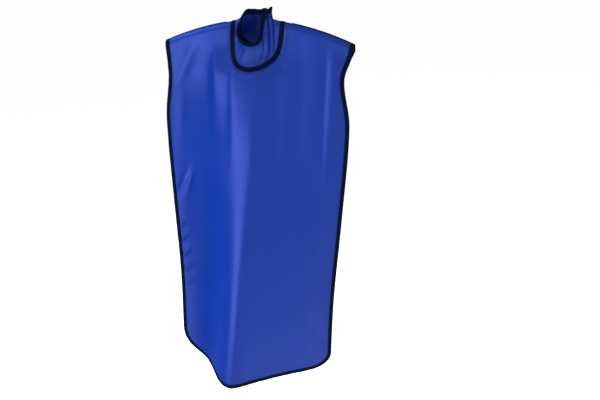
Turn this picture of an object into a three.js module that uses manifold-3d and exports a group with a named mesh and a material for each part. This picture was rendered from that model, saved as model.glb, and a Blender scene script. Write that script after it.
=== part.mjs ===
// Lead x-ray apron with a stand-up thyroid collar, as it hangs from its shoulders.
// Millimetres, +Z up, the front faces -Y. The origin is where a hanger carries the apron:
// midway between the shoulders, level with the shoulder ridge beside the neck.

import * as THREE from "three";
import Module from "manifold-3d";
import { mergeVertices } from "three/addons/utils/BufferGeometryUtils.js";

const wasm = await Module();
wasm.setup();

// Driving dimensions
const LENGTH = 1110; // from the shoulder ridge beside the neck down to the hem
const SHEET_THICK = 3; // coated cloth, lead vinyl and coated cloth
const SHOULDER = { half: 261, neckHalf: 68, drop: 55, slopeAtNeck: 0.15, foldRadius: 15 };
const HEM_CORNER = { left: 85, right: 55 }; // radii of the front panel's lower corners
const FLAP = { length: 165, innerEdge: 84, taper: 42, corner: 45, standOff: 5 };
const TAPE = { width: 11, thick: 1, gap: 0.5 };
const NECK_SLANT = 1; // room for the neck cut, which runs straight back through the leaning sheet
const COLLAR = {
  thick: 2.5,
  girth: 450, // round the neck at half height, once
  lap: 32, // overlap of the two ends
  endCorner: 40, // radius of the rounded ends
  seamTurn: 58, // where the ends meet, in degrees from the right shoulder towards the back
  lapStep: 7, // how far the outer end stands off the inner one
  backRadius: 42, // how roundly the lower edge turns down behind the shoulders
  lapRamp: 45, // length over which the outer end steps out
  longestArm: 0.55, // how far the wall may follow the panel before it bends up, by its height
};
const CLOSURE = { length: 18, height: 20, gap: 0.5 };

// Outline of the front panel, seen from the front: side edges at each level below the ridge
const SIDES = [
  { name: "seam", level: -24, left: -261, right: 261 },
  { name: "shoulder_tip", level: 40, left: -259, right: 253 },
  { name: "armhole", level: 125, left: -260, right: 237 },
  { name: "chest", level: 290, left: -283, right: 261 },
  { name: "waist", level: 560, left: -273, right: 260 },
  { name: "knee", level: 850, left: -259, right: 254 },
  { name: "hem", level: 1110, left: -251, right: 260 },
];

// Main fold of the hanging panel, at levels below the ridge: place of its crest, reach to the left and
// right of it and forward depth. The power says how squarely each flank falls away from the crest.
const RIDGE = [
  { name: "start", level: 60, x: 8, left: 165, right: 80, depth: 0 },
  { name: "throat", level: 150, x: 6, left: 165, right: 80, depth: 19 },
  { name: "chest", level: 250, x: 0, left: 150, right: 85, depth: 31 },
  { name: "waist", level: 450, x: -18, left: 112, right: 112, depth: 55 },
  { name: "thigh", level: 700, x: -31, left: 88, right: 160, depth: 96 },
  { name: "knee", level: 900, x: -38, left: 90, right: 178, depth: 132 },
  { name: "hem", level: 1110, x: -49, left: 90, right: 185, depth: 162 },
];
const RIDGE_POWER = { left: 2.4, right: 1.35 };

// Smaller folds: forward depth and half-widths to the left and right of the crest, each given where
// the fold starts and at the hem. A negative depth is a valley or a rolled edge.
const FOLDS = [
  { name: "left_crest", starts: 60, grows: 70, ends: 380, x: [-116, -122],
    left: [14, 16], right: [80, 80], depth: [9, 9] },
  { name: "ridge_step", starts: 60, grows: 70, ends: 460, x: [-62, -66],
    left: [14, 16], right: [80, 80], depth: [7, 7] },
  { name: "breast_groove", starts: 70, grows: 80, ends: 700, x: [52, 52],
    left: [26, 26], right: [22, 22], depth: [-3, -3] },
  { name: "right_groove", starts: 50, grows: 80, ends: 620, x: [186, 190],
    left: [12, 16], right: [12, 16], depth: [-5, -3] },
  { name: "right_roll", starts: 40, grows: 60, ends: 1400, x: [275, 262],
    left: [50, 70], right: [50, 70], depth: [-14, -24] },
];
const FADE = 200; // length over which a fold dies out above its end

// Left edge rolled back, at levels below the ridge
const LEFT_ROLL = [
  { name: "shoulder", level: 40, x: -278, width: 110, depth: 0 },
  { name: "armhole", level: 140, x: -278, width: 120, depth: -12 },
  { name: "chest", level: 260, x: -278, width: 125, depth: -37 },
  { name: "waist", level: 520, x: -275, width: 100, depth: -42 },
  { name: "knee", level: 800, x: -263, width: 98, depth: -38 },
  { name: "hem", level: 1110, x: -255, width: 70, depth: -5 },
];

// Collar sections round the neck, by turn from the right shoulder to the back, left and front.
// baseRun is measured along the sheet from the shoulder ridge, positive down the front.
const COLLAR_SECTIONS = [
  { name: "right_shoulder", turn: 0, baseX: 70, baseRun: 0, topX: 10, topY: -10, topZ: 14 },
  { name: "right_back", turn: 45, baseX: 60, baseRun: -68, topX: 24, topY: 20, topZ: 37 },
  { name: "back", turn: 90, baseX: 0, baseRun: -100, topX: 0, topY: 29, topZ: 29 },
  { name: "left_back", turn: 135, baseX: -60, baseRun: -72, topX: -22, topY: 26, topZ: 30 },
  { name: "left_shoulder", turn: 180, baseX: -73, baseRun: 0, topX: -40, topY: 8, topZ: 24 },
  { name: "left_front", turn: 225, baseX: -66, baseRun: 109, topX: -53, topY: -38, topZ: -27 },
  { name: "front", turn: 270, baseX: -12, baseRun: 135, topX: -24, topY: -62, topZ: -49 },
  { name: "right_front", turn: 315, baseX: 55, baseRun: 95, topX: 6, topY: -54, topZ: -42 },
];

// Mesh fineness
const RIDGE_ROWS = 8; // rows over the rounded shoulder ridge
const FRONT_ROWS = 32;
const CORNER_STEPS = 6; // columns in each rounded lower corner
const MIDDLE_COLUMNS = 15;
const FLAP_ROWS = 6;
const FLAP_MIDDLE_COLUMNS = 4;
const FLAP_CORNER_STEPS = 4;
const COLLAR_STATIONS = 52;
const COLLAR_END_STEPS = 5;
const COLLAR_MIDDLE_ROWS = 4;
const NORMAL_STEP = 0.5; // step used to find a sheet's normal
const BEND_WEIGHT = 30; // length of curve that counts as much as one radian of bend

// Finishes
const BLUE_CLOTH = new THREE.MeshStandardMaterial({ color: 0x2c4ba6, roughness: 0.5, metalness: 0 });
const BLACK_TAPE = new THREE.MeshStandardMaterial({ color: 0x14202c, roughness: 0.8, metalness: 0 });
const GREY_FASTENER = new THREE.MeshStandardMaterial({ color: 0x1b1f26, roughness: 0.95, metalness: 0 });

const QUARTER_ARC = (SHOULDER.foldRadius * Math.PI) / 2;
const LEVELLED = 300; // depth below which the panel is laid out by level
const FOLDS_BEGIN = 60; // length of cloth below the ridge over which the folds come in
const lerp = THREE.MathUtils.lerp;
const ease = (from, to, value) => THREE.MathUtils.smoothstep(value, from, to);

// Value of one column of a table at a place between its rows, on a smooth curve
function columnAt(table, place, at, column) {
  let i = 0;
  while (i < table.length - 2 && at > table[i + 1][place]) i += 1;
  const slope = (k) => {
    const before = table[Math.max(k - 1, 0)];
    const after = table[Math.min(k + 1, table.length - 1)];
    return (after[column] - before[column]) / (after[place] - before[place]);
  };
  const run = table[i + 1][place] - table[i][place];
  const s = THREE.MathUtils.clamp((at - table[i][place]) / run, 0, 1);
  const rise = s * s * (3 - 2 * s);
  const leave = s * (1 - s) * (1 - s) * run * slope(i);
  const arrive = s * s * (s - 1) * run * slope(i + 1);
  return lerp(table[i][column], table[i + 1][column], rise) + leave + arrive;
}

// How far the shoulder ridge lies below the origin, at a distance from the middle
function ridgeDrop(x) {
  const run = Math.max(0, Math.abs(x) - SHOULDER.neckHalf);
  const fullRun = SHOULDER.half - SHOULDER.neckHalf;
  const bend = (SHOULDER.drop - SHOULDER.slopeAtNeck * fullRun) / fullRun ** 2;
  return SHOULDER.slopeAtNeck * run + bend * run ** 2;
}

// Forward depth of the main fold
function ridgeDepth(x, level) {
  const start = RIDGE[0].level;
  if (level <= start) return 0;
  const off = x - columnAt(RIDGE, "level", level, "x");
  const side = off < 0 ? "left" : "right";
  const width = columnAt(RIDGE, "level", level, side);
  const depth = columnAt(RIDGE, "level", level, "depth") * ease(start, RIDGE[1].level, level);
  return depth * Math.exp(-(Math.abs(off / width) ** RIDGE_POWER[side]));
}

// Forward depth of the rolled left edge, negative because it lies back
function leftRoll(x, level) {
  const off = (x - columnAt(LEFT_ROLL, "level", level, "x")) / columnAt(LEFT_ROLL, "level", level, "width");
  return columnAt(LEFT_ROLL, "level", level, "depth") * Math.exp(-off * off);
}

// How far the folds push the hanging front forward of the shoulder fold
function foldDepth(x, level) {
  let depth = ridgeDepth(x, level) + leftRoll(x, level);
  for (const fold of FOLDS) {
    const grown = ease(fold.starts, LENGTH, level);
    const onset = ease(fold.starts, fold.starts + fold.grows, level);
    const leftOver = 1 - ease(fold.ends - FADE, fold.ends, level);
    const off = x - lerp(...fold.x, grown);
    const width = off < 0 ? lerp(...fold.left, grown) : lerp(...fold.right, grown);
    depth += onset * leftOver * lerp(...fold.depth, grown) * Math.exp(-((off / width) ** 2));
  }
  return depth;
}

// Middle of the sheet at a place x across and b down. Near the ridge b is the length of cloth from it,
// negative behind; below LEVELLED it is the level, so that the hem and the side edges lie square.
function hang(x, b) {
  const radius = SHOULDER.foldRadius;
  const drop = ridgeDrop(x);
  const run = b - drop * ease(QUARTER_ARC, LEVELLED, b);
  const turn = THREE.MathUtils.clamp(run / radius, -Math.PI / 2, Math.PI / 2);
  const below = Math.max(0, Math.abs(run) - QUARTER_ARC);
  const z = -drop - radius * (1 - Math.cos(turn)) - below;
  const folded = foldDepth(x, drop + run) * ease(0, FOLDS_BEGIN, run);
  const hung = run > 0 ? folded : FLAP.standOff * ease(0, FLAP.length, below);
  return new THREE.Vector3(x, -radius * Math.sin(turn) - Math.sign(run) * hung, z);
}

// Unit normal of a sheet, out of its visible face
function normalOf(sheet, a, b) {
  const across = sheet(a + NORMAL_STEP, b).sub(sheet(a - NORMAL_STEP, b));
  const down = sheet(a, b + NORMAL_STEP).sub(sheet(a, b - NORMAL_STEP));
  return down.cross(across).normalize();
}

const lifted = (sheet, [a, b], off) => sheet(a, b).addScaledVector(normalOf(sheet, a, b), off);

// Closed solid through rings of equal size: the first half of each ring is its outer skin,
// the second half its inner skin the other way round, so both ends close with a strip
function loft(rings) {
  const size = rings[0].length;
  const triangles = [];
  const quad = (p, q, r, s) => triangles.push(p, q, r, p, r, s);
  for (let k = 0; k < rings.length - 1; k += 1) {
    const top = k * size;
    const next = top + size;
    for (let i = 0; i < size; i += 1) {
      const j = (i + 1) % size;
      quad(top + i, next + i, next + j, top + j);
    }
  }
  const last = (rings.length - 1) * size;
  for (let i = 0; i < size / 2 - 1; i += 1) {
    quad(i, i + 1, size - 2 - i, size - 1 - i);
    quad(last + size - 1 - i, last + size - 2 - i, last + i + 1, last + i);
  }
  const geometry = new THREE.BufferGeometry().setFromPoints(rings.flat());
  geometry.setIndex(triangles);
  return facingOut(geometry);
}

// The same closed geometry with its faces turned outwards
function facingOut(geometry) {
  const places = geometry.getAttribute("position");
  const corner = (i) => new THREE.Vector3().fromBufferAttribute(places, i);
  const index = geometry.index.array;
  let volume = 0;
  for (let i = 0; i < index.length; i += 3) {
    volume += corner(index[i]).dot(corner(index[i + 1]).cross(corner(index[i + 2])));
  }
  if (volume < 0) {
    for (let i = 0; i < index.length; i += 3) {
      [index[i + 1], index[i + 2]] = [index[i + 2], index[i + 1]];
    }
  }
  return geometry;
}

// Wall of even thickness on a sheet, from rows of flat places
function wall(sheet, rows, thick) {
  return loft(
    rows.map((row) => [
      ...row.map((place) => lifted(sheet, place, thick / 2)),
      ...row.map((place) => lifted(sheet, place, -thick / 2)).reverse(),
    ]),
  );
}

// Tape folded over a wall's edge. Each stop has the edge's flat place and the flat direction inwards.
function binding(sheet, stops, wallThick) {
  const near = wallThick / 2 + TAPE.gap;
  const far = near + TAPE.thick;
  const section = [
    [TAPE.width, near],
    [-TAPE.gap, near],
    [-TAPE.gap, -near],
    [TAPE.width, -near],
    [TAPE.width, -far],
    [-TAPE.gap - TAPE.thick, -far],
    [-TAPE.gap - TAPE.thick, far],
    [TAPE.width, far],
  ];
  return loft(
    stops.map(({ place, inward }) =>
      section.map(([reach, off]) =>
        lifted(sheet, [place[0] + inward[0] * reach, place[1] + inward[1] * reach], off),
      ),
    ),
  );
}

// Flat direction square to an edge at stop i, on its left hand as the stops run; an end of the edge
// takes the nearest flat axis, so that tapes that meet at a seam stay clear of each other
function inwardAt(places, i) {
  const before = places[Math.max(i - 1, 0)];
  const after = places[Math.min(i + 1, places.length - 1)];
  const run = [after[0] - before[0], after[1] - before[1]];
  const size = Math.hypot(...run);
  const inward = [run[1] / size, -run[0] / size];
  const isEnd = i === 0 || i === places.length - 1;
  return isEnd ? inward.map(Math.round) : inward;
}

const edgeStops = (places) => places.map((place, i) => ({ place, inward: inwardAt(places, i) }));

// Lower edge from one side to the other with rounded corners: flat places of its columns.
// end is how far down the sheet the edge lies; up is -1 or 1, the way back from it to the sides.
function roundedEdge({ left, right, end, up, radii, steps, middle }) {
  const corner = (i, radius) => {
    const angle = (i / steps) * (Math.PI / 2);
    return [radius * (1 - Math.cos(angle)), end + up * radius * (1 - Math.sin(angle))];
  };
  const stops = [];
  for (let i = 0; i < steps; i += 1) {
    const [along, b] = corner(i, radii[0]);
    stops.push([left + along, b]);
  }
  for (let i = 0; i < middle.length; i += 1) {
    stops.push([middle[i], end]);
  }
  for (let i = steps - 1; i >= 0; i -= 1) {
    const [along, b] = corner(i, radii[1]);
    stops.push([right - along, b]);
  }
  return stops;
}

// Stops from one end of a curve to the other, closer together where the curve bends
function evenStops(curve, from, to, count) {
  const samples = 600;
  const at = (k) => lerp(from, to, k / samples);
  const points = Array.from({ length: samples + 1 }, (_, k) => curve(at(k)));
  const steps = points.slice(1).map((point, k) => point.clone().sub(points[k]));
  const weights = [0];
  for (let k = 0; k < samples; k += 1) {
    const turn = k > 0 ? steps[k].angleTo(steps[k - 1]) : 0;
    weights.push(weights[k] + steps[k].length() + BEND_WEIGHT * turn);
  }
  const stops = [];
  let k = 0;
  for (let i = 0; i <= count; i += 1) {
    while (k < samples && weights[k] < (weights[samples] * i) / count) k += 1;
    stops.push(at(k));
  }
  return stops;
}

// Front panel
const sideLeft = (b) => columnAt(SIDES, "level", b, "left");
const sideRight = (b) => columnAt(SIDES, "level", b, "right");
const HEM = roundedEdge({
  left: sideLeft(LENGTH),
  right: sideRight(LENGTH),
  end: LENGTH,
  up: -1,
  radii: [HEM_CORNER.left, HEM_CORNER.right],
  steps: CORNER_STEPS,
  middle: evenStops(
    (x) => hang(x, LENGTH),
    sideLeft(LENGTH) + HEM_CORNER.left,
    sideRight(LENGTH) - HEM_CORNER.right,
    MIDDLE_COLUMNS,
  ),
});

// Flat places of the panel row by row, from the seam behind the ridge, over it and down to the hem
function panelRows() {
  const share = HEM.map(([x]) => (x - HEM[0][0]) / (HEM.at(-1)[0] - HEM[0][0]));
  const rows = [];
  for (let i = 0; i < RIDGE_ROWS; i += 1) {
    const b = lerp(-QUARTER_ARC, QUARTER_ARC, i / RIDGE_ROWS);
    rows.push(share.map((c) => [lerp(sideLeft(b), sideRight(b), c), b]));
  }
  for (let i = 0; i <= FRONT_ROWS; i += 1) {
    const down = i / FRONT_ROWS;
    rows.push(HEM.map(([, end], c) => {
      const b = lerp(QUARTER_ARC, end, down);
      return [lerp(sideLeft(b), sideRight(b), share[c]), b];
    }));
  }
  return rows;
}

// Places round the panel's bound edge: down its left side, along the hem and up its right side
function panelEdge(rows) {
  const down = rows.slice(0, -1).map((row) => row[0]);
  const up = rows.slice(0, -1).map((row) => row.at(-1)).reverse();
  return [...down, ...rows.at(-1), ...up];
}

// Back flap of one shoulder, side -1 for the left and 1 for the right, and the places of its edge
function flapRows(side) {
  const start = -QUARTER_ARC - TAPE.gap;
  const end = start - FLAP.length;
  const outer = SHOULDER.half - FLAP.taper;
  const middle = [];
  for (let i = 0; i <= FLAP_MIDDLE_COLUMNS; i += 1) {
    middle.push(lerp(FLAP.innerEdge + FLAP.corner, outer - FLAP.corner, i / FLAP_MIDDLE_COLUMNS));
  }
  const edge = roundedEdge({
    left: FLAP.innerEdge,
    right: outer,
    end,
    up: 1,
    radii: [FLAP.corner, FLAP.corner],
    steps: FLAP_CORNER_STEPS,
    middle,
  });
  const rows = [];
  for (let i = 0; i <= FLAP_ROWS; i += 1) {
    const down = i / FLAP_ROWS;
    rows.push(edge.map(([x, b]) => {
      const share = (x - FLAP.innerEdge) / (outer - FLAP.innerEdge);
      const top = lerp(FLAP.innerEdge, SHOULDER.half, share);
      return [side * lerp(top, x, down), lerp(start, b, down)];
    }));
  }
  return rows;
}

function flapEdge(rows, side) {
  const inner = rows.slice(0, -1).map((row) => row[0]);
  const outer = rows.slice(0, -1).map((row) => row.at(-1)).reverse();
  const edge = [...inner, ...rows.at(-1), ...outer];
  return side < 0 ? edge : edge.reverse();
}

// Collar section at a turn round the neck, on a smooth closed curve through the table
function collarSection(turn) {
  const count = COLLAR_SECTIONS.length;
  const place = (THREE.MathUtils.euclideanModulo(turn, 360) / 360) * count;
  const i = Math.floor(place);
  const s = place - i;
  const row = (k) => COLLAR_SECTIONS[THREE.MathUtils.euclideanModulo(k, count)];
  const at = (column) => {
    const [p, q, r, t] = [row(i - 1), row(i), row(i + 1), row(i + 2)].map((section) => section[column]);
    return q + 0.5 * s * (r - p + s * (2 * p - 5 * q + 4 * r - t + s * (3 * (q - r) + t - p)));
  };
  return {
    base: [at("baseX"), at("baseRun")],
    top: new THREE.Vector3(at("topX"), at("topY"), at("topZ")),
  };
}

// Flat place of the collar's lower edge on the panel and the flat direction inwards from it
function collarBase(turn) {
  const [place, inward] = [collarSection(turn).base, [0, 0]];
  const before = collarSection(turn - 1).base;
  const after = collarSection(turn + 1).base;
  const size = Math.hypot(after[0] - before[0], after[1] - before[1]);
  inward[0] = (after[1] - before[1]) / size;
  inward[1] = (before[0] - after[0]) / size;
  return { place, inward };
}

const COLLAR_LENGTH = COLLAR.girth + COLLAR.lap;

const collarTurn = (a) => COLLAR.seamTurn + (360 * (a - COLLAR.lap / 2)) / COLLAR.girth;

// Where the collar's lower edge lies: on the panel in front, and in a rounder arc behind the ridge
function neckSurface(x, b) {
  if (b >= 0) return hang(x, b);
  const turn = -b / COLLAR.backRadius;
  const drop = ridgeDrop(x) + COLLAR.backRadius * (1 - Math.cos(turn));
  return new THREE.Vector3(x, COLLAR.backRadius * Math.sin(turn), -drop);
}

// Upright section of the collar wall: it leaves the panel along its surface and bends up evenly
// to the top edge; its length is close to a third of two chords and the two control arms
function collarWall(turn) {
  const { place, inward } = collarBase(turn);
  const foot = neckSurface(...place);
  const leave = neckSurface(place[0] + inward[0], place[1] + inward[1]).sub(foot).normalize();
  const { top } = collarSection(turn);
  const chord = top.clone().sub(foot);
  const even = chord.lengthSq() / (2 * Math.max(chord.dot(leave), 1));
  const arm = Math.min(even, COLLAR.longestArm * chord.length());
  const bend = foot.clone().addScaledVector(leave, arm);
  return { foot, bend, top, length: (2 * chord.length() + arm + top.distanceTo(bend)) / 3 };
}

const collarHeight = (a) => collarWall(collarTurn(a)).length;

// Middle of the collar wall before its ends are lapped: a runs round the neck, b down from the top edge
function collarCurve(a, b) {
  const { foot, bend, top, length } = collarWall(collarTurn(a));
  const rise = 1 - b / length;
  const lower = foot.clone().lerp(bend, rise);
  return lower.lerp(bend.lerp(top, rise), rise);
}

// Middle of the collar wall, its last stretch stepped out over the first
function collarSheet(a, b) {
  const step = COLLAR.lapStep * ease(COLLAR.girth - COLLAR.lapRamp, COLLAR.girth - 3, a);
  return lifted(collarCurve, [a, b], step);
}

// Stations along the collar, fine round its rounded ends: place a and how far the top edge drops there
function collarTop() {
  const stops = [];
  const radius = COLLAR.endCorner;
  for (let i = 0; i < COLLAR_END_STEPS; i += 1) {
    const angle = (i / COLLAR_END_STEPS) * (Math.PI / 2);
    stops.push([radius * (1 - Math.cos(angle)), radius * (1 - Math.sin(angle))]);
  }
  const foot = (a) => collarCurve(a, collarHeight(a));
  for (const a of evenStops(foot, radius, COLLAR_LENGTH - radius, COLLAR_STATIONS)) {
    stops.push([a, 0]);
  }
  for (let i = COLLAR_END_STEPS - 1; i >= 0; i -= 1) {
    stops.push([COLLAR_LENGTH - stops[i][0], stops[i][1]]);
  }
  return stops;
}

// The first and last rows of the wall are as wide as the tapes that cover them
function collarRows(top) {
  const rows = [top];
  for (let i = 0; i <= COLLAR_MIDDLE_ROWS; i += 1) {
    rows.push(top.map(([a, b]) => {
      const low = collarHeight(a) - TAPE.width;
      return [a, lerp(b + TAPE.width, low, i / COLLAR_MIDDLE_ROWS)];
    }));
  }
  rows.push(top.map(([a]) => [a, collarHeight(a)]));
  return rows;
}

// Touch-fastener patch between the lapped ends
function closureRows() {
  const rows = [];
  const low = collarHeight(COLLAR.lap / 2) - TAPE.width - 8;
  for (let i = 0; i <= 3; i += 1) {
    const b = lerp(low - CLOSURE.height, low, i / 3);
    const along = [0, 0.25, 0.5, 0.75, 1];
    rows.push(along.map((share) => [COLLAR.lap / 2 + CLOSURE.length * (share - 0.5), b]));
  }
  return rows;
}

// Solid that opens the neck: the collar's lower edge moved out by its tape, two gaps and the slant,
// at the collar's own stations, and carried up through the shoulder ridge
function neckTool(stations) {
  const seam = TAPE.thick + 2 * TAPE.gap + NECK_SLANT;
  const turns = stations.map(([a]) => collarTurn(a)).filter((turn) => turn > 180 && turn < 360);
  const outline = [180, ...turns, 360].map((turn) => {
    const { place, inward } = collarBase(turn);
    const [x, b] = place.map((value, k) => value - inward[k] * seam);
    return new THREE.Vector2(x, hang(x, Math.max(b, 0)).z);
  });
  const above = 60;
  outline.unshift(new THREE.Vector2(outline[0].x, above));
  outline.push(new THREE.Vector2(outline.at(-1).x, above));
  const depth = 240;
  const tool = new THREE.ExtrudeGeometry(new THREE.Shape(outline), { depth, bevelEnabled: false });
  return tool.rotateX(Math.PI / 2).translate(0, depth / 2, 0);
}

function toManifold(geometry) {
  const plain = geometry.clone();
  plain.deleteAttribute("normal");
  plain.deleteAttribute("uv");
  const merged = mergeVertices(plain, 1e-4);
  return new wasm.Manifold(new wasm.Mesh({
    numProp: 3,
    vertProperties: new Float32Array(merged.getAttribute("position").array),
    triVerts: new Uint32Array(merged.index.array),
  }));
}

function fromManifold(solid) {
  const mesh = solid.getMesh();
  const geometry = new THREE.BufferGeometry();
  geometry.setAttribute("position", new THREE.BufferAttribute(mesh.vertProperties, 3));
  geometry.setIndex(new THREE.BufferAttribute(mesh.triVerts, 1));
  return geometry;
}

const apron = new THREE.Group();
apron.name = "lead_apron";

function addPiece(name, geometry, material) {
  const piece = new THREE.Mesh(geometry, material.clone());
  piece.geometry.computeVertexNormals();
  piece.name = name;
  apron.add(piece);
}

const top = collarTop();
const panel = panelRows();
const panelWall = toManifold(wall(hang, panel, SHEET_THICK)).subtract(toManifold(neckTool(top)));
addPiece("front_panel", fromManifold(panelWall), BLUE_CLOTH);
addPiece("edge_binding", binding(hang, edgeStops(panelEdge(panel)), SHEET_THICK), BLACK_TAPE);

for (const [hand, side] of [["left", -1], ["right", 1]]) {
  const rows = flapRows(side);
  addPiece(`shoulder_flap_${hand}`, wall(hang, rows, SHEET_THICK), BLUE_CLOTH);
  addPiece(`flap_binding_${hand}`, binding(hang, edgeStops(flapEdge(rows, side)), SHEET_THICK), BLACK_TAPE);
}

const foot = top.map(([a]) => ({ place: [a, collarHeight(a)], inward: [0, -1] }));
addPiece("collar", wall(collarSheet, collarRows(top), COLLAR.thick), BLUE_CLOTH);
addPiece("collar_top_binding", binding(collarSheet, edgeStops(top.toReversed()), COLLAR.thick), BLACK_TAPE);
addPiece("collar_base_binding", binding(collarSheet, foot, COLLAR.thick), BLACK_TAPE);

const patchThick = COLLAR.lapStep - COLLAR.thick - 2 * CLOSURE.gap;
const betweenEnds = (a, b) => lifted(collarSheet, [a, b], COLLAR.lapStep / 2);
addPiece("collar_closure", wall(betweenEnds, closureRows(), patchThick), GREY_FASTENER);

export default apron;
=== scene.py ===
# %% [markdown]
# # A lead x-ray apron, from packed solids to cloth
# The apron is one long front panel of coated nylon over lead vinyl, two short flaps that lie behind the
# shoulders, and a stand-up collar that guards the throat. Black tape binds the cut edges. The packed
# solids are the frame: they say where everything hangs. Each step below lays finer cloth, tape and
# thread in the same place, so nothing has to be fitted by eye.

# %% The frame
import math
from functools import lru_cache
from types import SimpleNamespace

import bmesh
import bpy
from mathutils import Matrix, Vector, kdtree, noise


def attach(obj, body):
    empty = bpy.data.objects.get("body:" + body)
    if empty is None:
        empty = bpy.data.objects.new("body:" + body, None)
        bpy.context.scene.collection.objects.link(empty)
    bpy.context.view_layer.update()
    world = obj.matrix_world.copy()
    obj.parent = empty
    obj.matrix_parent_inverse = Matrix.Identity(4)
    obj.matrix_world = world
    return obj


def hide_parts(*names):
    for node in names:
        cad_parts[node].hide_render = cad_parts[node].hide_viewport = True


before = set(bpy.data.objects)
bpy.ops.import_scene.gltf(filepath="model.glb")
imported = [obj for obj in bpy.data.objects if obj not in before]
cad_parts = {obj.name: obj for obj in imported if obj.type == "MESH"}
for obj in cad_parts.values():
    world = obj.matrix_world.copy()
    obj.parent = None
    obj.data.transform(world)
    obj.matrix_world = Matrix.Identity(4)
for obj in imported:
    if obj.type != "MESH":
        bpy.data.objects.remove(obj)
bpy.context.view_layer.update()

# %% [markdown]
# ## The sizes of the cut
# A pattern maker would note these on the drawing: lengths in millimetres, the side edges level by
# level, and the folds that the heavy panel falls into. They are the sizes of the solids too, so the
# cloth hangs on them. Each table starts with the names of its columns.

# %% Tables with named columns
def table_of(columns, *rows):
    """Rows of a table, each of them read by the names of the columns."""
    names = columns.split()
    return [dict(zip(names, row, strict=True)) for row in rows]


HANDS = {"left": -1, "right": 1}
print("hands, as seen from the front:", HANDS)

# %% Main sizes
MM = 0.001
LENGTH = 1110
PANEL_WALL = 3.0
COLLAR_WALL = 2.5
SHOULDER = SimpleNamespace(half=261, neck_half=68, drop=55, slope_at_neck=0.15, fold_radius=15)
HEM_CORNER = SimpleNamespace(left=85, right=55)
FLAP = SimpleNamespace(length=165, inner_edge=84, taper=42, corner=45, stand_off=5, seam_gap=0.5)
LEVELLED = 300
FOLDS_BEGIN = 60
QUARTER_ARC = SHOULDER.fold_radius * math.pi / 2
print("cut:", 2 * SHOULDER.half, "mm over the shoulders,", LENGTH, "mm long")

# %% Side edges, level by level
SIDES = table_of(
    "name level left right",
    ("seam", -24, -261, 261),
    ("shoulder_tip", 40, -259, 253),
    ("armhole", 125, -260, 237),
    ("chest", 290, -283, 261),
    ("waist", 560, -273, 260),
    ("knee", 850, -259, 254),
    ("hem", 1110, -251, 260),
)
print("width at the chest:", SIDES[3]["right"] - SIDES[3]["left"], "mm")

# %% [markdown]
# ## The folds
# One deep ridge runs from the throat to the hem, left of the middle, and grows as it falls. The left
# edge rolls back. Most of the shallow folds end half way down. Each row gives where a fold lies, how
# wide each side of it is and how far it stands forward, so a fold can be moved without touching the
# others.

# %% The main ridge and the left roll
RIDGE = table_of(
    "name level x left right depth",
    ("start", 60, 8, 165, 80, 0),
    ("throat", 150, 6, 165, 80, 19),
    ("chest", 250, 0, 150, 85, 31),
    ("waist", 450, -18, 112, 112, 55),
    ("thigh", 700, -31, 88, 160, 96),
    ("knee", 900, -38, 90, 178, 132),
    ("hem", 1110, -49, 90, 185, 162),
)
RIDGE_POWER = {"left": 2.4, "right": 1.35}
LEFT_ROLL = table_of(
    "name level x width depth",
    ("shoulder", 40, -278, 110, 0),
    ("armhole", 140, -278, 120, -12),
    ("chest", 260, -278, 125, -37),
    ("waist", 520, -275, 100, -42),
    ("knee", 800, -263, 98, -38),
    ("hem", 1110, -255, 70, -5),
)
print("main ridge: 0 to", RIDGE[-1]["depth"], "mm deep")

# %% Shallow folds
FOLDS = table_of(
    "name starts grows ends x left right depth",
    ("left_crest", 60, 70, 380, (-116, -122), (14, 16), (80, 80), (9, 9)),
    ("ridge_step", 60, 70, 460, (-62, -66), (14, 16), (80, 80), (7, 7)),
    ("breast_groove", 70, 80, 700, (52, 52), (26, 26), (22, 22), (-3, -3)),
    ("right_groove", 50, 80, 620, (186, 190), (12, 16), (12, 16), (-5, -3)),
    ("right_roll", 40, 60, 1400, (275, 262), (50, 70), (50, 70), (-14, -24)),
)
FADE = 200
print("shallow folds:", [fold["name"] for fold in FOLDS])

# %% [markdown]
# ## How the panel hangs
# A cloth simulation could drape the panel, but the photograph shows one particular set of folds, and
# lead vinyl keeps them. So the drape is a function: a flat place on the cut goes in, a place in space
# comes out. Over the shoulder the cloth runs round an arc, and below it every fold is a smooth bump
# that grows downwards.

# %% Smooth steps and curves
def lerp(first, last, share):
    return first + (last - first) * share


def ease(start, end, value):
    share = min(max((value - start) / (end - start), 0.0), 1.0)
    return share * share * (3 - 2 * share)


def column_at(table, level, column):
    """One column of a table at a level between its rows, on a smooth curve."""
    i = 0
    while i < len(table) - 2 and level > table[i + 1]["level"]:
        i += 1

    def slope(k):
        before, after = table[max(k - 1, 0)], table[min(k + 1, len(table) - 1)]
        return (after[column] - before[column]) / (after["level"] - before["level"])

    run = table[i + 1]["level"] - table[i]["level"]
    s = min(max((level - table[i]["level"]) / run, 0.0), 1.0)
    leave = s * (1 - s) ** 2 * run * slope(i)
    arrive = s * s * (s - 1) * run * slope(i + 1)
    return lerp(table[i][column], table[i + 1][column], s * s * (3 - 2 * s)) + leave + arrive


def side_left(b):
    return column_at(SIDES, b, "left")


def side_right(b):
    return column_at(SIDES, b, "right")


print("waist:", round(side_right(LENGTH / 2) - side_left(LENGTH / 2)), "mm wide")

# %% Depth of the folds
def ridge_depth(x, level):
    start = RIDGE[0]["level"]
    if level <= start:
        return 0.0
    off = x - column_at(RIDGE, level, "x")
    side = "left" if off < 0 else "right"
    width = column_at(RIDGE, level, side)
    depth = column_at(RIDGE, level, "depth") * ease(start, RIDGE[1]["level"], level)
    return depth * math.exp(-abs(off / width) ** RIDGE_POWER[side])


def left_roll(x, level):
    off = (x - column_at(LEFT_ROLL, level, "x")) / column_at(LEFT_ROLL, level, "width")
    return column_at(LEFT_ROLL, level, "depth") * math.exp(-off * off)


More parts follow.
